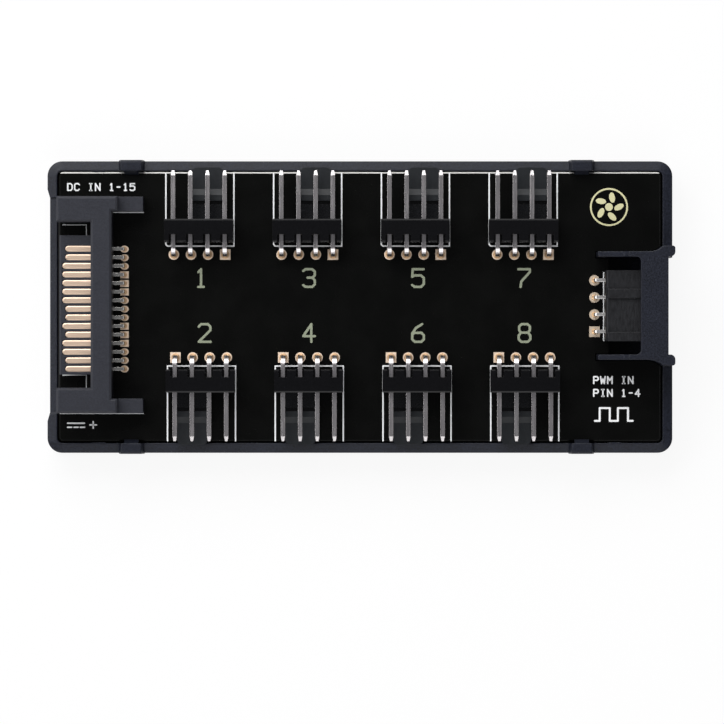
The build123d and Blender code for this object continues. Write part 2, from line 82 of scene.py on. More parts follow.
# %% A socket that can be used in a sum
NO_STRETCH = (1.0, 1.0, 1.0)
NOISE_DETAIL = 2.0
MIX_FACTOR = 0
MIX_FIRST = 6
MIX_SECOND = 7
MIX_RESULT = 2


class Socket:
    """A shader socket: each operator on it adds one Math node."""

    def __init__(self, tree, socket):
        self.tree = tree
        self.socket = socket

    def node(self, kind, settings, inputs, out=0):
        """Adds a node of one kind to the tree, and gives back one of its outputs."""
        made = self.tree.nodes.new("ShaderNode" + kind)
        for name, value in settings.items():
            setattr(made, name, value)
        for key, value in inputs.items():
            if isinstance(value, Socket):
                self.tree.links.new(value.socket, made.inputs[key])
            else:
                made.inputs[key].default_value = value
        return Socket(self.tree, made.outputs[out])

    def maths(self, operation, first, second=0.0):
        """One Math node."""
        return self.node("Math", {"operation": operation}, {0: first, 1: second})

    def __add__(self, other):
        return self.maths("ADD", self, other)

    def __sub__(self, other):
        return self.maths("SUBTRACT", self, other)

    def __rsub__(self, other):
        return self.maths("SUBTRACT", other, self)

    def __mul__(self, other):
        return self.maths("MULTIPLY", self, other)

    def steps(self, low, high):
        """0 below low, 1 above high, with a straight slope between them."""
        inputs = {"Value": self, "From Min": low, "From Max": high}
        return self.node("MapRange", {"clamp": True}, inputs)

    def colours(self, first, second):
        """A mix of two colours by this value."""
        inputs = {MIX_FACTOR: self, MIX_FIRST: first, MIX_SECOND: second}
        return self.node("Mix", {"data_type": "RGBA"}, inputs, MIX_RESULT)

    def noise(self, scale, stretch=NO_STRETCH):
        """Noise at this place, so many waves to the metre, drawn out along an axis by a small stretch."""
        place = self.node("Mapping", {}, {"Vector": self, "Scale": stretch})
        return self.node("TexNoise", {}, {"Vector": place, "Scale": scale, "Detail": NOISE_DETAIL})

    def axis(self, letter):
        """One axis of this place, by its letter."""
        return self.node("SeparateXYZ", {}, {0: self}, letter.upper())


print("a socket has", [name for name in vars(Socket) if not name.startswith("_")])

# %% [markdown]
# A finish starts as a new material with one shader. Its detail is drawn in the piece's own coordinates, so
# that it stays in place on the piece. A height becomes a normal, and that normal may also turn gently over
# the sharp edges of a moulding.

# %% Helpers for a finish
EDGE_RAYS = 6


def new_finish(name):
    """A material with its shader, and the piece's own coordinates to draw its detail with."""
    material = bpy.data.materials.new(name)
    material.use_nodes = True
    tree = material.node_tree
    coordinates = tree.nodes.new("ShaderNodeTexCoord")
    return material, tree.nodes["Principled BSDF"], Socket(tree, coordinates.outputs["Object"])


def set_shader(shader, values):
    """Sets inputs of a shader by name, each to a value or to a socket."""
    for name, value in values.items():
        if isinstance(value, Socket):
            value.tree.links.new(value.socket, shader.inputs[name])
        else:
            shader.inputs[name].default_value = value


def shade(colour, factor):
    """A colour made darker or lighter by a factor, with its alpha added."""
    return tuple(channel * factor for channel in colour) + (1.0,)


def raised(height, depth, strength=1.0, edge=0.0):
    """A normal that follows a height between 0 and 1, over a depth in metres, and may turn over an edge."""
    inputs = {"Strength": strength, "Distance": depth, "Height": height}
    if edge:
        inputs["Normal"] = height.node("Bevel", {"samples": EDGE_RAYS}, {"Radius": edge})
    return height.node("Bump", {}, inputs)


print("a finish looks for edges with", EDGE_RAYS, "rays")

# %% [markdown]
# ## Moulded plastics
# The tray and the power connector are slate-grey mouldings with a fine spark-eroded grain, the fan headers
# are black, and the control socket lies between. All have the same grain: a soft cloud, a finer mottle and
# the finest specks share the tone, and the last two are a shallow bump as well. A second function adds one
# colour to it, with the mottle in the gloss.

# %% Finishes for the mouldings
CLOUD_SCALE = 330.0
MOTTLE_SCALE = 4000.0
SPECK_SCALE = 7500.0
MOTTLE_RANGE = (0.3, 0.7)
SPECK_RANGE = (0.25, 0.75)
CLOUD_SHARE = 0.3
MOTTLE_SHARE = 0.45
SPECK_SHARE = 0.25
MOTTLE_HEIGHT = 0.6
SPECK_HEIGHT = 0.4
GLOSS_SPREAD = 0.12


def grained(name, grain_depth, sheen, edge=0.0, stretch=NO_STRETCH):
    """A grained plastic with no colour yet, its shader, and the place, tone and mottle to colour it by."""
    material, shader, place = new_finish(name)
    cloud = place.noise(CLOUD_SCALE)
    mottle = place.noise(MOTTLE_SCALE, stretch).steps(*MOTTLE_RANGE)
    specks = place.noise(SPECK_SCALE).steps(*SPECK_RANGE)
    tone = cloud * CLOUD_SHARE + mottle * MOTTLE_SHARE + specks * SPECK_SHARE
    height = mottle * MOTTLE_HEIGHT + specks * SPECK_HEIGHT
    set_shader(shader, {"Specular IOR Level": sheen, "Normal": raised(height, grain_depth, edge=edge)})
    return material, shader, place, tone, mottle


def moulded(name, colour, mottling, roughness, **grain):
    """A grained plastic of one colour, which the tone darkens and lightens by the mottling."""
    material, shader, _, tone, mottle = grained(name, **grain)
    values = {
        "Base Color": tone.colours(shade(colour, 1.0 - mottling), shade(colour, 1.0 + mottling)),
        "Roughness": mottle * GLOSS_SPREAD + (roughness - GLOSS_SPREAD / 2),
    }
    set_shader(shader, values)
    return material


case_finish = moulded(
    "slate_moulding",
    colour=(0.0105, 0.0123, 0.0205),
    mottling=0.95,
    roughness=0.4,
    grain_depth=0.016 * MM,
    sheen=0.27,
    edge=0.25 * MM,
)
power_finish = moulded(
    "slate_connector_moulding",
    colour=(0.021, 0.0225, 0.031),
    mottling=0.4,
    roughness=0.42,
    grain_depth=0.006 * MM,
    sheen=0.36,
    edge=0.1 * MM,
)
socket_finish = moulded(
    "grey_socket_moulding",
    colour=(0.009, 0.0092, 0.0112),
    mottling=0.7,
    roughness=0.44,
    grain_depth=0.008 * MM,
    sheen=0.3,
    edge=0.1 * MM,
    stretch=(1.0, 0.25, 1.0),
)
print("plastics", case_finish.name, power_finish.name, socket_finish.name)

# %% [markdown]
# The top of each header's tongue is spark-eroded, and so paler than the polished block. It starts at one
# distance from the line between the two rows, and lies above one level, so masks on these two pick it out.
# The paler tone is kept faint up to the tongue's lock, a painted shade where the block and the groove shade
# the tongue, and is full beyond it.

# %% Black headers with paler tongues
ROWS_MIDDLE = 0.15 * MM
TONGUE_START = 12.82 * MM
SHADE_END_AT_LOCK = 15.3 * MM
TONGUE_LEVEL = 0.9 * MM
MASK_FADE = 0.05 * MM
SHADED_TONGUE_SHARE = 0.3
PAST_SHADE_SHARE = 0.7
HEADER_ROUGHNESS = 0.17
TONE_ROUGHER = 0.08
TONGUE_ROUGHER = 0.2

header_finish, header_shader, header_place, header_tone, _ = grained(
    "black_header_moulding", grain_depth=0.002 * MM, sheen=0.4
)
row_offset = header_place.axis("y") - ROWS_MIDDLE
tongue_level = board_top + TONGUE_LEVEL
distance = row_offset.maths("ABSOLUTE", row_offset)
# Up to the lock the tongue gets only a faint share of the paler tone: a painted shade for the shadow of the
# block and the groove.
beyond_block = distance.steps(TONGUE_START, TONGUE_START + MASK_FADE) * SHADED_TONGUE_SHARE
past_painted_shade = distance.steps(SHADE_END_AT_LOCK, SHADE_END_AT_LOCK + MASK_FADE) * PAST_SHADE_SHARE
above_level = header_place.axis("z").steps(tongue_level, tongue_level + MASK_FADE)
tongue_mask = (beyond_block + past_painted_shade) * above_level
polished = header_tone.colours((0.0006, 0.0006, 0.0009, 1.0), (0.0022, 0.0021, 0.0032, 1.0))
eroded = header_tone.colours((0.0036, 0.0048, 0.0068, 1.0), (0.0086, 0.011, 0.014, 1.0))
header_values = {
    "Base Color": tongue_mask.colours(polished, eroded),
    "Roughness": header_tone * TONE_ROUGHER + tongue_mask * TONGUE_ROUGHER + HEADER_ROUGHNESS,
}
set_shader(header_shader, header_values)
print("tongues from", round(TONGUE_START / MM, 2), "mm off the line between the rows")

# %% [markdown]
# ## Board
# The board is a glass-fibre laminate under black solder mask. The mask is smooth and nearly black, with the
# weave of the glass just showing through it. Along the odd channels' edge, the one the strongest lamp faces,
# a thin strip is painted as pale laminate: a painted highlight for the glint of that edge.

# %% Finish for the board
GLINT_WIDTH = 0.21 * MM
GLINT_FADE = 0.02 * MM
WEAVE_RATE = 9000.0
WEAVE_DEPTH = 0.0012 * MM
WEAVE_STRENGTH = 0.5
MASK_SCALE = 260.0
LAMINATE_GLINT_SCALE = 5200.0
MASK_ROUGHNESS = 0.22
CLOUD_ROUGHER = 0.1
GLINT_ROUGHER = 0.35
MASK_SHEEN = 0.14

board_finish, board_shader, board_place = new_finish("black_solder_mask")
board_x = board_place.axis("x")
board_y = board_place.axis("y")
weave = board_x.maths("SINE", board_x * WEAVE_RATE) * board_y.maths("SINE", board_y * WEAVE_RATE)
mask_cloud = board_place.noise(MASK_SCALE)
# A painted highlight: a pale laminate strip only along the lit edge of the odd channels, for that edge's
# glint.
glint_start = board_high.y - GLINT_WIDTH
glinting = board_y.steps(glint_start, glint_start + GLINT_FADE)
mask_tone = mask_cloud.colours((0.0012, 0.0013, 0.0011, 1.0), (0.0026, 0.0027, 0.0024, 1.0))
laminate_glint_tone = board_place.noise(LAMINATE_GLINT_SCALE).colours((0.7, 0.69, 0.66, 1.0), (0.95, 0.94, 0.9, 1.0))
board_values = {
    "Base Color": glinting.colours(mask_tone, laminate_glint_tone),
    "Roughness": glinting * GLINT_ROUGHER + mask_cloud * CLOUD_ROUGHER + MASK_ROUGHNESS,
    "Specular IOR Level": MASK_SHEEN,
    "Normal": raised(weave * 0.5 + 0.5, WEAVE_DEPTH, WEAVE_STRENGTH),
}
set_shader(board_shader, board_values)
print("bare laminate from", round(glint_start / MM, 2), "mm outwards")

# %% [markdown]
# ## Metals
# The pins are drawn wire with a tin plate, and fine lines run along them. The pads and the solder have no
# such direction. One function makes them all, from a noise that may be drawn out along one axis and a
# broader stain.

# %% Finishes for the pins, tails, pads and solder
LINE_SCALE = 5200.0
STAIN_SCALE = 900.0
STAIN_SPREAD = 0.15
LINE_DEPTH = 0.0004 * MM
LINE_STRENGTH = 0.5
ALONG_X = (0.06, 1.0, 1.0)
ALONG_Y = (1.0, 0.06, 1.0)


def plated(name, colour, roughness, stretch=NO_STRETCH):
    """A metal with a plate of one colour, with fine lines and a stain in it."""
    material, shader, place = new_finish(name)
    lines = place.noise(LINE_SCALE, stretch)
    stain = lines * 0.5 + place.noise(STAIN_SCALE) * 0.5
    values = {
        "Base Color": stain.colours(shade(colour, 1.0 - STAIN_SPREAD), shade(colour, 1.0 + STAIN_SPREAD)),
        "Roughness": lines * GLOSS_SPREAD + (roughness - GLOSS_SPREAD / 2),
        "Metallic": 1.0,
        "Normal": raised(lines, LINE_DEPTH, LINE_STRENGTH),
    }
    set_shader(shader, values)
    return material


pin_finish = plated("tin_plate", (0.69, 0.655, 0.66), 0.26, ALONG_Y)
tail_finish = plated("bright_tin_plate", (0.84, 0.82, 0.8), 0.32, ALONG_X)
pad_finish = plated("gold_pad_plate", (0.95, 0.77, 0.61), 0.54)
pale_pad_finish = plated("pale_pad_plate", (0.66, 0.55, 0.43), 0.54)
# The solder's brown is a painted shade for the shadowed plating inside each hole.
hole_shade_solder_finish = plated("solder_with_painted_hole_shade", (0.72, 0.49, 0.29), 0.48)
plates = (pin_finish, tail_finish, pad_finish, pale_pad_finish, hole_shade_solder_finish)
print("metals", [finish.name for finish in plates])

# %% [markdown]
# The power contacts are stamped strip with a thin gold plate where the plug touches and smoother, brighter
# tin on the tails. Each strip is one piece, so a mask along it mixes the two.

# %% Gold strips with tin tails
TAIL_LENGTH = 2.4 * MM
TAIL_FADE = 0.3 * MM
STRIP_SCALE = 4200.0
STRIP_STRETCH = (0.08, 1.0, 1.0)
STRIP_DEPTH = 0.0006 * MM
STRIP_ROUGHER = 0.1
GOLD_ROUGHNESS = 0.43
TIN_SMOOTHER = 0.27

contact_finish, contact_shader, contact_place = new_finish("gold_strip_tin_tail")
tail_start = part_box("power_5v_contacts")[1].x - TAIL_LENGTH
tail_mask = contact_place.axis("x").steps(tail_start - TAIL_FADE, tail_start)
contact_lines = contact_place.noise(STRIP_SCALE, STRIP_STRETCH)
gold_tone = contact_lines.colours((0.55, 0.415, 0.315, 1.0), (0.75, 0.58, 0.455, 1.0))
tin_tone = contact_lines.colours((0.66, 0.64, 0.6, 1.0), (0.86, 0.84, 0.8, 1.0))
contact_values = {
    "Base Color": tail_mask.colours(gold_tone, tin_tone),
    "Roughness": contact_lines * STRIP_ROUGHER + (GOLD_ROUGHNESS - tail_mask * TIN_SMOOTHER),
    "Metallic": 1.0,
    "Normal": raised(contact_lines, STRIP_DEPTH, LINE_STRENGTH),
}
set_shader(contact_shader, contact_values)
print("tin tails from", round(tail_start / MM, 2), "mm inwards")

# %% [markdown]
# ## Dressing the solids
# Moulded and stamped edges are never sharp. A Weld modifier joins the facets of each solid and a Bevel
# rounds its edges a little, so that they catch the light, and the solid's own mesh stays as it came.

# %% Put a finish and soft edges on each solid
EDGE_ANGLE = math.radians(32.0)
WELD_REACH = 0.0005 * MM
MOULDED_EDGE = 0.1 * MM
BOARD_EDGE = 0.02 * MM
HEADER_EDGE = 0.09 * MM
PIN_EDGE = 0.03 * MM
TAIL_EDGE = 0.08 * MM
STRIP_EDGE = 0.055 * MM
ROUND_STEPS = 2
CUT_STEPS = 1


def dress(node, finish, edge, segments):
    """Puts a finish on one solid, and live modifiers that soften its edges."""
    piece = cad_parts[node]
    piece.data.materials.clear()
    piece.data.materials.append(finish)
    weld = piece.modifiers.new("join_facets", "WELD")
    weld.merge_threshold = WELD_REACH
    bevel = piece.modifiers.new("soft_edges", "BEVEL")
    bevel.width = edge
    bevel.segments = segments
    bevel.limit_method = "ANGLE"
    bevel.angle_limit = EDGE_ANGLE
    bevel.use_clamp_overlap = True
    bevel.harden_normals = True


finishes = {
    "case_tray": (case_finish, MOULDED_EDGE, ROUND_STEPS),
    "circuit_board": (board_finish, BOARD_EDGE, CUT_STEPS),
    "power_housing": (power_finish, MOULDED_EDGE, ROUND_STEPS),
    "control_socket": (socket_finish, MOULDED_EDGE, ROUND_STEPS),
}
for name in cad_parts:
    if name.startswith("fan_header"):
        finishes[name] = (header_finish, HEADER_EDGE, ROUND_STEPS)
    elif name.endswith("_pin"):
        finishes[name] = (pin_finish, PIN_EDGE, ROUND_STEPS)
    elif name.endswith("_contact"):
        finishes[name] = (tail_finish, TAIL_EDGE, ROUND_STEPS)
    elif name.endswith("_contacts"):
        finishes[name] = (contact_finish, STRIP_EDGE, ROUND_STEPS)
for name, (finish, edge, segments) in finishes.items():
    dress(name, finish, edge, segments)
print("dressed", len(finishes), "of", len(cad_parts), "solids")

# %% [markdown]
# ## Pads and solder
# Each pin goes through a plated pad. Most pads are round. Those of the first pin of a fan header or of the
# control socket are square, and so are two groups at the power connector. A disc or a square is given the
# thickness of copper. The joints are soldered from below, so on top the solder only fills the hole to a
# shallow bowl round the pin. The bowl is coloured brown, a painted shade for the shadowed plating of the
# hole.

# %% Helpers for small pieces on the board
PAD_THICKNESS = 0.035 * MM
PAD_SIDES = 28


def add_piece(name, mesh_maker, finish, smooth=False):
    """Makes one mesh from a bmesh that a function fills, and lets it ride on the hub."""
    bm = bmesh.new()
    mesh_maker(bm)
    bmesh.ops.recalc_face_normals(bm, faces=bm.faces)
    mesh = bpy.data.meshes.new(name)
    bm.to_mesh(mesh)
    bm.free()
    for face in mesh.polygons:
        face.use_smooth = smooth
    mesh.materials.append(finish)
    piece = bpy.data.objects.new(name, mesh)
    bpy.context.scene.collection.objects.link(piece)
    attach(piece, "root")
    print(name, len(mesh.polygons), "faces")


def thicken(bm, faces, height):
    """Gives flat faces a thickness upwards, and leaves them closed below."""
    rise = bmesh.ops.extrude_face_region(bm, geom=faces, use_keep_orig=True)
    top = [part for part in rise["geom"] if isinstance(part, bmesh.types.BMVert)]
    bmesh.ops.translate(bm, verts=top, vec=(0.0, 0.0, height))


def plate(bm, centre, size, square):
    """One pad on the board, as a square or as a disc."""
    if square:
        made = bmesh.ops.create_grid(bm, x_segments=1, y_segments=1, size=0.5)["verts"]
    else:
        made = bmesh.ops.create_circle(bm, cap_ends=True, segments=PAD_SIDES, radius=0.5)["verts"]
    bmesh.ops.scale(bm, verts=made, vec=(size[0], size[1], 1.0))
    bmesh.ops.translate(bm, verts=made, vec=(centre.x, centre.y, board_top))
    faces = list({face for vert in made for face in vert.link_faces})
    thicken(bm, faces, PAD_THICKNESS)


print("pads are", round(PAD_THICKNESS / MM, 3), "mm thick")

# %% [markdown]
# The bowl's profile, in millimetres, runs from the axis out to its rim and back in to the axis. A full spin
# of it, with its doubles merged, makes a closed body. One bowl is made and copied to the other pads, because
# every joint of a connector is alike.

# %% Bowls of solder
SOLDER_STEPS = 20
MERGE_REACH = 0.0001 * MM
SOLDER_PROFILE = (
    (0.0, 0.02),
    (0.62, 0.02),
    (0.62, 0.04),
    (0.58, 0.075),
    (0.52, 0.075),
    (0.46, 0.05),
    (0.38, 0.04),
    (0.0, 0.04),
)


def solder_bowls(bm, places, spread=1.0):
    """A bowl at each place, made wider or narrower by a spread."""
    line = [bm.verts.new((r * spread * MM, 0.0, z * MM)) for r, z in SOLDER_PROFILE]
    edges = [bm.edges.new(pair) for pair in zip(line, line[1:])]
    turn = {"cent": (0, 0, 0), "axis": (0, 0, 1), "angle": math.tau, "steps": SOLDER_STEPS}
    bmesh.ops.spin(bm, geom=line + edges, use_merge=True, **turn)
    bmesh.ops.remove_doubles(bm, verts=bm.verts, dist=MERGE_REACH)
    first = bm.verts[:] + bm.edges[:] + bm.faces[:]
    bowls = [first] + [bmesh.ops.duplicate(bm, geom=first)["geom"] for _ in places[1:]]
    for bowl, place in zip(bowls, places):
        verts = [part for part in bowl if isinstance(part, bmesh.types.BMVert)]
        bmesh.ops.translate(bm, verts=verts, vec=(place.x, place.y, board_top))


print("a bowl is", 2 * max(r for r, _ in SOLDER_PROFILE), "mm across")

# %% Where the pins enter the board
FAN_COUNT = 8
PIN_LINES = ("ground", "power", "tach", "pwm")
PIN_HALF = 0.32 * MM
TAIL_HALF = 0.15 * MM


def header_pads(number):
    """Places of one header's pads, the first pin first."""
    north = number % 2 == 1
    places = []
    for line in PIN_LINES:
        low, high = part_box(f"fan_{number}_{line}_pin")
        y = low.y + PIN_HALF if north else high.y - PIN_HALF
        places.append(Vector(((low.x + high.x) / 2, y)))
    return places


fan_pads = {number: header_pads(number) for number in range(1, FAN_COUNT + 1)}
control_pads = []
for line in PIN_LINES:
    low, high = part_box(f"control_{line}_contact")
    control_pads.append(Vector((low.x + TAIL_HALF, (low.y + high.y) / 2)))
for first_pad in (fan_pads[1][0], control_pads[0]):
    print("first pad at", [round(v / MM, 2) for v in first_pad], "mm")

# %% Pads of the fan headers and the control socket
FAN_PAD = (1.56 * MM, 1.56 * MM)
CONTROL_SPREAD = 0.7


def pad_row(bm, places):
    """One connector's pads, the first of them square."""
    for order, place in enumerate(places):
        plate(bm, place, FAN_PAD, order == 0)


def fill_fan_pads(bm):
    for places in fan_pads.values():
        pad_row(bm, places)


def fill_control_pads(bm):
    pad_row(bm, control_pads)


def fill_fan_solder(bm):
    solder_bowls(bm, [place for places in fan_pads.values() for place in places])


def fill_control_solder(bm):
    solder_bowls(bm, control_pads, CONTROL_SPREAD)


add_piece("fan_pads", fill_fan_pads, pad_finish)
add_piece("control_pads", fill_control_pads, pale_pad_finish)
add_piece("fan_solder", fill_fan_solder, hole_shade_solder_finish, smooth=True)
add_piece("control_solder", fill_control_solder, hole_shade_solder_finish, smooth=True)

# %% Pads of the power connector
POWER_PAD = (1.25 * MM, 1.05 * MM)
POWER_PITCH = 1.27 * MM
POWER_GROUPS = ("3v3", "ground", "5v", "return", "12v")
SQUARE_GROUPS = ("ground", "return")
POWER_SPREAD = 0.62
STRIP_HALF = 0.125 * MM

power_pads = []
for group in POWER_GROUPS:
    low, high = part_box(f"power_{group}_contacts")
    middle = (low.y + high.y) / 2
    for offset in (-1, 0, 1):
        place = Vector((high.x - STRIP_HALF, middle + offset * POWER_PITCH))
        power_pads.append((place, group in SQUARE_GROUPS))


def fill_power_pads(bm):
    for place, square in power_pads:
        plate(bm, place, POWER_PAD, square)


def fill_power_solder(bm):
    solder_bowls(bm, [place for place, _ in power_pads], POWER_SPREAD)


add_piece("power_pads", fill_power_pads, pad_finish)
add_piece("power_solder", fill_power_solder, hole_shade_solder_finish, smooth=True)

# %% [markdown]
# ## Printing
# Here board print is drawn as if by a round pen in straight passes, so each stroke is one pass: a disc that
# is pulled out along its line. Strokes that follow each other in one line differ in height by about a
# thousandth of a millimetre, so that their tops don't lie in one plane where they overlap.

# %% The pen
PEN_SIDES = 16
INK_THICKNESS = 0.014 * MM
INK_STEP = 0.0012 * MM
INK_LEVELS = 7


def pen_pass(bm, start, end, width, level):
    """One stroke: the front half of a disc is pulled out to its length, then it is turned and raised."""
    along = end - start
    half_step = Matrix.Rotation(math.pi / PEN_SIDES, 4, "Z")
    disc = {"cap_ends": True, "segments": PEN_SIDES, "radius": width / 2, "matrix": half_step}
    made = bmesh.ops.create_circle(bm, **disc)["verts"]
    bmesh.ops.translate(bm, verts=[vert for vert in made if vert.co.x > 0], vec=(along.length, 0.0, 0.0))
    turn = Matrix.Rotation(math.atan2(along.y, along.x), 4, "Z")
    place = Matrix.Translation((start.x, start.y, board_top))
    bmesh.ops.transform(bm, matrix=place @ turn, verts=made)
    thicken(bm, list(made[0].link_faces), INK_THICKNESS + level * INK_STEP)


def draw(bm, line, width):
    """Draws one line of points, in metres on the board."""
    points = [Vector(point) for point in line]
    for order, (start, end) in enumerate(zip(points, points[1:])):
        pen_pass(bm, start, end, width, order % INK_LEVELS)


print("ink is", round(INK_THICKNESS / MM, 3), "mm thick, in", INK_LEVELS, "levels")

# %% Ink
INK_SCALE = 6000.0
INK_DARKEST = 0.88
INK_LIGHTEST = 1.08
INK_ROUGHNESS = 0.45
INK_ROUGHER = 0.2
INK_DEPTH = 0.004 * MM
INK_STRENGTH = 0.4


def ink(name, colour):
    """A dull ink with a fine speckle."""
    material, shader, place = new_finish(name)
    speckle = place.noise(INK_SCALE)
    values = {
        "Base Color": speckle.colours(shade(colour, INK_DARKEST), shade(colour, INK_LIGHTEST)),
        "Roughness": speckle * INK_ROUGHER + INK_ROUGHNESS,
        "Normal": raised(speckle, INK_DEPTH, INK_STRENGTH),
    }
    set_shader(shader, values)
    return material


line_ink = ink("white_board_ink", (0.9, 0.91, 0.92))
number_ink = ink("pale_green_board_ink", (0.275, 0.305, 0.215))
sign_ink = ink("pale_yellow_board_ink", (0.68, 0.65, 0.38))
print("inks", line_ink.name, number_ink.name, sign_ink.name)

# %% [markdown]
# Each header stands in a printed outline that is open towards the board's edge, and at the odd channels one
# of its corners is cut. The outlines of the two inlets are a few short lines, given in millimetres.

# %% Outlines round the connectors
LINE_WIDTH = 0.21 * MM
THIN_WIDTH = 0.15 * MM
OUTLINE_HALF = 5.05 * MM
OUTLINE_SHIFT = 0.05 * MM
OUTLINE_BACK = 1.26 * MM
OUTLINE_CUT = 0.24 * MM
EDGE_INSET = 0.2 * MM
POWER_LINES = (
    ((-36.8, 14.05), (-32.15, 14.05)),
    ((-44.5, -15.8), (-32.15, -15.8)),
    ((-44.1, 12.2), (-40.62, 12.2), (-40.62, 10.0)),
    ((-44.1, -10.1), (-40.62, -10.1), (-40.62, -12.0)),
)
CONTROL_LINE = ((36.55, 5.12), (36.17, 5.12), (36.17, -4.95), (36.55, -4.95))


def header_outline(number):
    """One header's outline: from the board's edge in to its pads, across, and out to the edge again."""
    places = fan_pads[number]
    row = places[0].y
    centre = sum(place.x for place in places) / len(places) + OUTLINE_SHIFT
    left = centre - OUTLINE_HALF
    right = centre + OUTLINE_HALF
    if number % 2:
        edge = board_high.y - EDGE_INSET
        back = row + OUTLINE_BACK
        corner = [(left, back + OUTLINE_CUT), (left + OUTLINE_CUT, back)]
    else:
        edge = board_low.y + EDGE_INSET
        back = row - OUTLINE_BACK
        corner = [(left, back)]
    return [(left, edge), *corner, (right, back), (right, edge)]


def scaled(points):
    """Points in millimetres, given back in metres."""
    return [(x * MM, y * MM) for x, y in points]


def fill_header_outlines(bm):
    for number in fan_pads:
        draw(bm, header_outline(number), LINE_WIDTH)


def fill_power_outline(bm):
    for line in POWER_LINES:
        draw(bm, scaled(line), THIN_WIDTH)


def fill_control_outline(bm):
    draw(bm, scaled(CONTROL_LINE), THIN_WIDTH)


add_piece("fan_outline_print", fill_header_outlines, line_ink)
add_piece("power_outline_print", fill_power_outline, line_ink)
add_piece("control_outline_print", fill_control_outline, line_ink)

# %% [markdown]
# The channel numbers and the short plain labels use one stroke alphabet. Each letter or number is drawn in a
# box about one unit wide and one unit high, round its middle.

# %% A stroke alphabet
SIGNS = {
    "1": (((-0.23, 0.34), (0.0, 0.5), (0.0, -0.5)), ((-0.24, -0.5), (0.24, -0.5))),
    "2": (((-0.5, 0.36), (-0.3, 0.5), (0.3, 0.5), (0.5, 0.36), (0.5, 0.16), (-0.5, -0.5), (0.52, -0.5)),),
    "3": (
        ((-0.5, 0.4), (-0.3, 0.5), (0.28, 0.5), (0.5, 0.36), (0.5, 0.16), (0.3, 0.02), (-0.12, 0.02)),
        ((0.3, 0.02), (0.5, -0.13), (0.5, -0.36), (0.28, -0.5), (-0.3, -0.5), (-0.5, -0.4)),
    ),
    "4": (((0.2, -0.5), (0.2, 0.5), (-0.5, -0.18), (0.5, -0.18)),),
    "5": (
        ((0.48, 0.5), (-0.46, 0.5), (-0.5, 0.07), (-0.3, 0.15), (0.25, 0.15), (0.5, 0.0), (0.5, -0.34)),
        ((0.5, -0.34), (0.26, -0.5), (-0.3, -0.5), (-0.5, -0.4)),
    ),
    "6": (
        ((0.35, 0.5), (-0.18, 0.28), (-0.5, -0.02), (-0.5, -0.36), (-0.28, -0.5), (0.28, -0.5), (0.5, -0.36)),
        ((0.5, -0.36), (0.5, -0.14), (0.3, 0.01), (-0.3, 0.01), (-0.5, -0.1)),
    ),
    "7": (((-0.5, 0.5), (0.5, 0.5), (0.5, 0.34), (-0.24, -0.2), (-0.3, -0.5)),),
    "8": (
        ((-0.3, 0.02), (-0.46, 0.15), (-0.46, 0.37), (-0.26, 0.5), (0.26, 0.5), (0.46, 0.37), (0.46, 0.15)),
        ((0.46, 0.15), (0.3, 0.02), (-0.3, 0.02), (-0.5, -0.14), (-0.5, -0.36), (-0.28, -0.5), (0.28, -0.5)),
        ((0.28, -0.5), (0.5, -0.36), (0.5, -0.14), (0.3, 0.02)),
    ),
    "D": (((-0.5, -0.5), (-0.5, 0.5), (0.2, 0.5), (0.5, 0.25), (0.5, -0.25), (0.2, -0.5), (-0.5, -0.5)),),
    "C": (
        ((0.5, 0.35), (0.28, 0.5), (-0.28, 0.5), (-0.5, 0.33), (-0.5, -0.33), (-0.28, -0.5), (0.28, -0.5)),
        ((0.28, -0.5), (0.5, -0.35)),
    ),
    "I": (((-0.25, 0.5), (0.25, 0.5)), ((0.0, 0.5), (0.0, -0.5)), ((-0.25, -0.5), (0.25, -0.5))),
    "N": (((-0.5, -0.5), (-0.5, 0.5), (0.5, -0.5), (0.5, 0.5)),),
    "P": (((-0.5, -0.5), (-0.5, 0.5), (0.25, 0.5), (0.5, 0.35), (0.5, 0.1), (0.25, -0.03), (-0.5, -0.03)),),
    "W": (((-0.5, 0.5), (-0.3, -0.5), (0.0, 0.15), (0.3, -0.5), (0.5, 0.5)),),
    "M": (((-0.5, -0.5), (-0.5, 0.5), (0.0, -0.05), (0.5, 0.5), (0.5, -0.5)),),
    "-": (((-0.3, 0.0), (0.3, 0.0)),),
    "+": (((-0.4, 0.0), (0.4, 0.0)), ((0.0, -0.3), (0.0, 0.3))),
    " ": (),
}


def write(bm, words, start, size, advance, width):
    """Writes a row of letters or numbers on the board, from the middle of the first one."""
    for order, letter in enumerate(words):
        for line in SIGNS[letter]:
            points = [(start[0] + order * advance + x * size[0], start[1] + y * size[1]) for x, y in line]
            draw(bm, points, width)


print("the alphabet has", "".join(SIGNS).strip())

# %% Channel numbers
NUMBER_SIZE = (1.72 * MM, 2.62 * MM)
NUMBER_WIDTH = 0.36 * MM
NUMBER_X = {1: -23.59, 2: -23.07, 3: -7.56, 4: -7.56, 5: 8.63, 6: 8.63, 7: 24.37, 8: 24.44}
EVEN_NUMBER_Y = -3.85
ODD_NUMBER_Y = 4.31


def fill_numbers(bm):
    for number, x in NUMBER_X.items():
        y = ODD_NUMBER_Y if number % 2 else EVEN_NUMBER_Y
        write(bm, str(number), (x * MM, y * MM), NUMBER_SIZE, 0.0, NUMBER_WIDTH)


add_piece("channel_numbers", fill_numbers, number_ink)

# %% Plain labels beside the two inlets
LABEL_SIZE = (0.66 * MM, 1.0 * MM)
LABEL_ADVANCE = 1.03 * MM
LABEL_WIDTH = 0.22 * MM
LABELS = {
    "DC IN 1-15": (-43.05 * MM, 17.82 * MM),
    "PWM IN": (35.05 * MM, -10.85 * MM),
    "PIN 1-4": (35.05 * MM, -12.75 * MM),
}


def fill_labels(bm):
    for words, start in LABELS.items():
        write(bm, words, start, LABEL_SIZE, LABEL_ADVANCE, LABEL_WIDTH)


add_piece("inlet_labels", fill_labels, line_ink)

# %% [markdown]
# Each inlet has a plain sign as well. At the power connector it is the one for direct current, a whole line
# over a broken one with a plus beside it. At the control socket it is a train of pulses, for a switched
# signal. Their places are in millimetres.

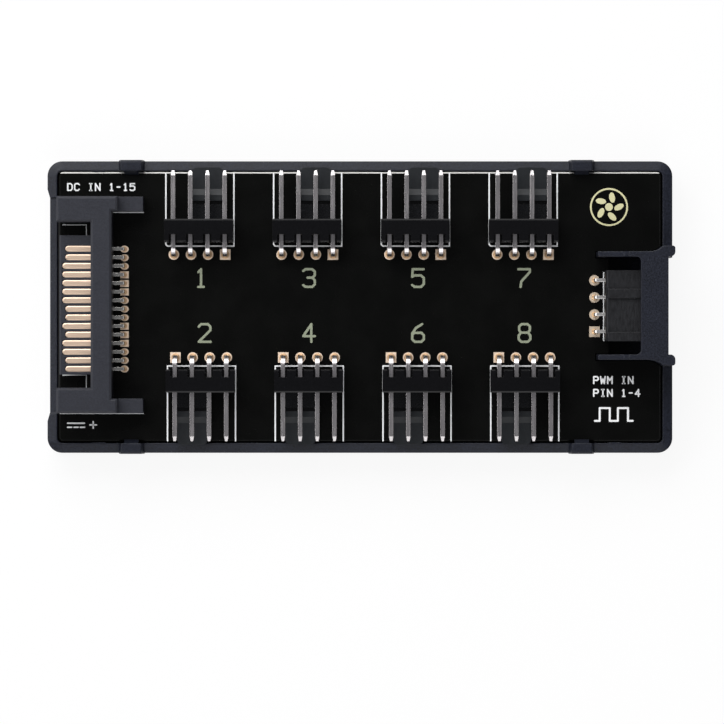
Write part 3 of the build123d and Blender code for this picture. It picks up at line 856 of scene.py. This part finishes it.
# %% Signs beside the two inlets
DIRECT_LINE = ((-43.4, -17.25), (-40.9, -17.25))
DASH_STARTS = (-43.4, -42.45, -41.5)
DASH_LENGTH = 0.6
DASH_Y = -17.85
PLUS_PLACE = (-39.6 * MM, -17.5 * MM)
PLUS_SIZE = (1.2 * MM, 1.6 * MM)
PULSE_START = 34.9
PULSE_EDGES = (35.6, 37.1, 38.3, 39.8)
PULSE_END = 40.5
PULSE_LOW = -16.9
PULSE_HIGH = -15.0
PULSE_WIDTH = 0.3 * MM


def fill_direct_current_sign(bm):
    draw(bm, scaled(DIRECT_LINE), LABEL_WIDTH)
    for start in DASH_STARTS:
        draw(bm, scaled(((start, DASH_Y), (start + DASH_LENGTH, DASH_Y))), LABEL_WIDTH)
    write(bm, "+", PLUS_PLACE, PLUS_SIZE, 0.0, LABEL_WIDTH)


def fill_pulse_sign(bm):
    line = [(PULSE_START, PULSE_LOW)]
    for order, x in enumerate(PULSE_EDGES):
        levels = (PULSE_HIGH, PULSE_LOW) if order % 2 else (PULSE_LOW, PULSE_HIGH)
        line += [(x, level) for level in levels]
    line.append((PULSE_END, PULSE_LOW))
    draw(bm, scaled(line), PULSE_WIDTH)


add_piece("direct_current_sign", fill_direct_current_sign, line_ink)
add_piece("pulse_sign", fill_pulse_sign, line_ink)

# %% [markdown]
# A plain fan wheel marks what the hub is for: a ring, a boss and five swept blades.

# %% Fan sign
FAN_CENTRE = (36.98 * MM, 14.85 * MM)
FAN_BLADES = 5
SIGN_SIDES = 24
BOSS_RADIUS = 0.58 * MM
BLADE_SIZE = (1.55 * MM, 0.86 * MM)
BLADE_REACH = 1.48 * MM
BLADE_LEAN = math.radians(28.0)
RING_RADIUS = 2.7 * MM
RING_CORNERS = 40
RING_WIDTH = 0.26 * MM


def fan_blade(bm, turn):
    """One oval, leaned over and set out from the boss, then turned to its place."""
    oval = bmesh.ops.create_circle(bm, cap_ends=True, segments=SIGN_SIDES, radius=0.5)["verts"]
    bmesh.ops.scale(bm, verts=oval, vec=(BLADE_SIZE[0], BLADE_SIZE[1], 1.0))
    lean = Matrix.Translation((BLADE_REACH, 0.0, 0.0)) @ Matrix.Rotation(BLADE_LEAN, 4, "Z")
    bmesh.ops.transform(bm, matrix=Matrix.Rotation(turn, 4, "Z") @ lean, verts=oval)
    return oval


def fill_fan_sign(bm):
    flat = bmesh.ops.create_circle(bm, cap_ends=True, segments=SIGN_SIDES, radius=BOSS_RADIUS)["verts"]
    for blade in range(FAN_BLADES):
        flat += fan_blade(bm, math.tau * blade / FAN_BLADES)
    bmesh.ops.translate(bm, verts=flat, vec=(FAN_CENTRE[0], FAN_CENTRE[1], board_top))
    thicken(bm, list({face for vert in flat for face in vert.link_faces}), INK_THICKNESS)
    ring = []
    for corner in range(RING_CORNERS + 1):
        turn = math.tau * corner / RING_CORNERS
        x = FAN_CENTRE[0] + RING_RADIUS * math.cos(turn)
        y = FAN_CENTRE[1] + RING_RADIUS * math.sin(turn)
        ring.append((x, y))
    draw(bm, ring, RING_WIDTH)


add_piece("fan_sign", fill_fan_sign, sign_ink)

# %% [markdown]
# ## Table and light
# The hub lies on a white table with a wall far off. Where the camera sees it, straight or in a reflection,
# the table mostly glows white by itself, and to all other light it is paper. So it looks white without more
# light on the hub.

# %% Table
TABLE_RADIUS = 3.0
TABLE_SIDES = 96
TABLE_DROP = 0.02 * MM
WALL_HEIGHT = 1.2
PAPER_COLOUR = (0.92, 0.92, 0.92, 1.0)
GLOW_COLOUR = (1.0, 1.0, 1.0, 1.0)
GLOW_STRENGTH = 1.0
GLOW_SHARE = 0.9

table_mesh = bpy.data.meshes.new("table")
bm = bmesh.new()
bmesh.ops.create_circle(bm, cap_ends=True, segments=TABLE_SIDES, radius=TABLE_RADIUS)
rim = [edge for edge in bm.edges if edge.is_boundary]
wall = bmesh.ops.extrude_edge_only(bm, edges=rim)
wall_verts = [part for part in wall["geom"] if isinstance(part, bmesh.types.BMVert)]
bmesh.ops.translate(bm, verts=wall_verts, vec=(0.0, 0.0, WALL_HEIGHT))
bm.to_mesh(table_mesh)
bm.free()
table = bpy.data.objects.new("table", table_mesh)
table.location = (0.0, 0.0, -TABLE_DROP)
bpy.context.scene.collection.objects.link(table)

table_finish = bpy.data.materials.new("white_table")
table_finish.use_nodes = True
table_tree = table_finish.node_tree
table_tree.nodes.clear()
light_path = table_tree.nodes.new("ShaderNodeLightPath")
straight = Socket(table_tree, light_path.outputs["Is Camera Ray"])
glossy = Socket(table_tree, light_path.outputs["Is Glossy Ray"])
passing = Socket(table_tree, light_path.outputs["Is Transmission Ray"])
paper = straight.node("BsdfDiffuse", {}, {"Color": PAPER_COLOUR})
glow = straight.node("Emission", {}, {"Color": GLOW_COLOUR, "Strength": GLOW_STRENGTH})
share = (straight + glossy + passing) * GLOW_SHARE
surface = straight.node("MixShader", {}, {0: share, 1: paper, 2: glow})
output = table_tree.nodes.new("ShaderNodeOutputMaterial")
table_tree.links.new(surface.socket, output.inputs["Surface"])
table_mesh.materials.append(table_finish)
print("table", 2 * TABLE_RADIUS, "m across, with", len(table_mesh.polygons), "faces")

# %% [markdown]
# Three large soft lamps light the hub: the strongest beyond the odd channels, a weaker one beyond the even
# channels and the weakest beyond the power connector. Little comes from straight above, so flat tops stay
# dark and edges shine.

# %% Lamps
ROOM_COLOUR = (0.12, 0.122, 0.13, 1.0)


def lamp(name, place, size, power):
    """A soft lamp that is aimed at the hub and isn't itself seen by the camera."""
    data = bpy.data.lights.new(name, "AREA")
    data.shape = "RECTANGLE"
    data.size, data.size_y = size
    data.energy = power
    made = bpy.data.objects.new(name, data)
    made.location = place
    made.rotation_euler = (-Vector(place)).to_track_quat("-Z", "Y").to_euler()
    made.visible_camera = False
    bpy.context.scene.collection.objects.link(made)
    print(name, power, "W")


lamp("key_lamp", place=(-0.2, 0.51, 0.555), size=(0.62, 0.58), power=6.0)
lamp("fill_lamp", place=(0.05, -0.5, 0.575), size=(0.62, 0.54), power=1.9)
lamp("side_lamp", place=(-0.52, 0.08, 0.565), size=(0.4, 0.4), power=1.5)
world = bpy.data.worlds.new("dim_room")
world.use_nodes = True
world.node_tree.nodes["Background"].inputs["Color"].default_value = ROOM_COLOUR
bpy.context.scene.world = world

# %% [markdown]
# ## Sizes
# Soft edges and thin print should leave the hub's size as it was.
